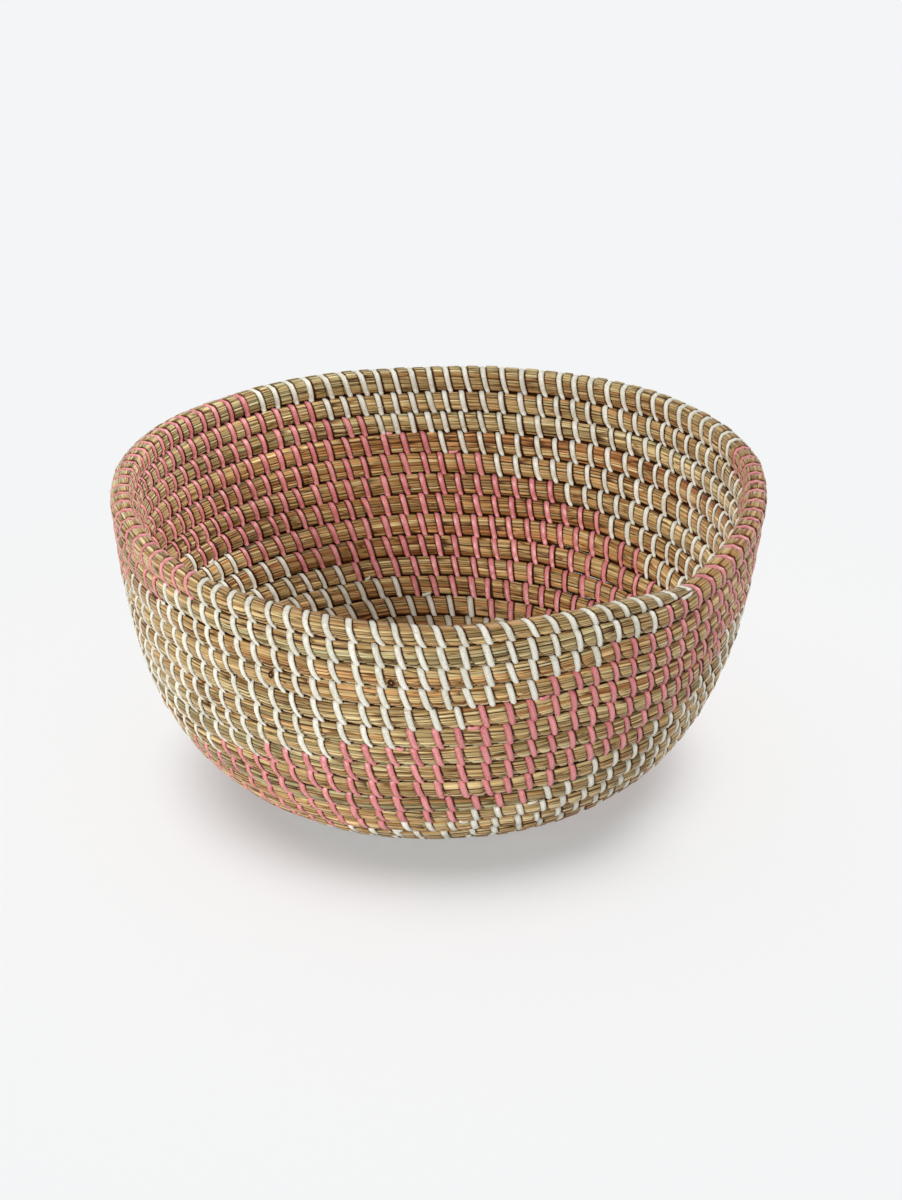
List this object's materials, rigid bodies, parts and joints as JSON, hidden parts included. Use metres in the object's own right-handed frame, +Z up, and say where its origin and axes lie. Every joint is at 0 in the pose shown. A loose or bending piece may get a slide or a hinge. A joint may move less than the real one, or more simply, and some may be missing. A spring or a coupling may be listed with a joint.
{
  "type": "coiled basket bowl",
  "caption": "Round open bowl of coiled seagrass sewn with flat plastic strip in two swirling colours, with a flat base and rounded sides.",
  "frame": {"origin": "on the bowl's axis, in the plane that it stands on", "axes": "+Z up through the open top, -Y towards the pictured front, +X to the right of the picture"},
  "size_m": [0.3026, 0.3021, 0.1439],
  "materials": {
    "seagrass": "dry grass stalks, matt",
    "white_strip": "satin",
    "pink_strip": "satin"
  },
  "bodies": {
    "root": {"coil_turn_01": "seagrass", "coil_turn_02": "seagrass", "coil_turn_03": "seagrass", "coil_turn_04": "seagrass", "coil_turn_05": "seagrass", "coil_turn_06": "seagrass", "coil_turn_07": "seagrass", "coil_turn_08": "seagrass", "coil_turn_09": "seagrass", "coil_turn_10": "seagrass", "coil_turn_11": "seagrass", "coil_turn_12": "seagrass", "coil_turn_13": "seagrass", "coil_turn_14": "seagrass", "coil_turn_15": "seagrass", "coil_turn_16": "seagrass", "coil_turn_17": "seagrass", "coil_turn_18": "seagrass", "coil_turn_19": "seagrass", "coil_turn_20": "seagrass", "coil_turn_21": "seagrass", "coil_turn_22": "seagrass", "rim_strip_pink_1": "pink_strip", "rim_strip_white_1": "white_strip", "rim_strip_pink_2": "pink_strip", "rim_strip_white_2": "white_strip"}
  },
  "joints": []
}
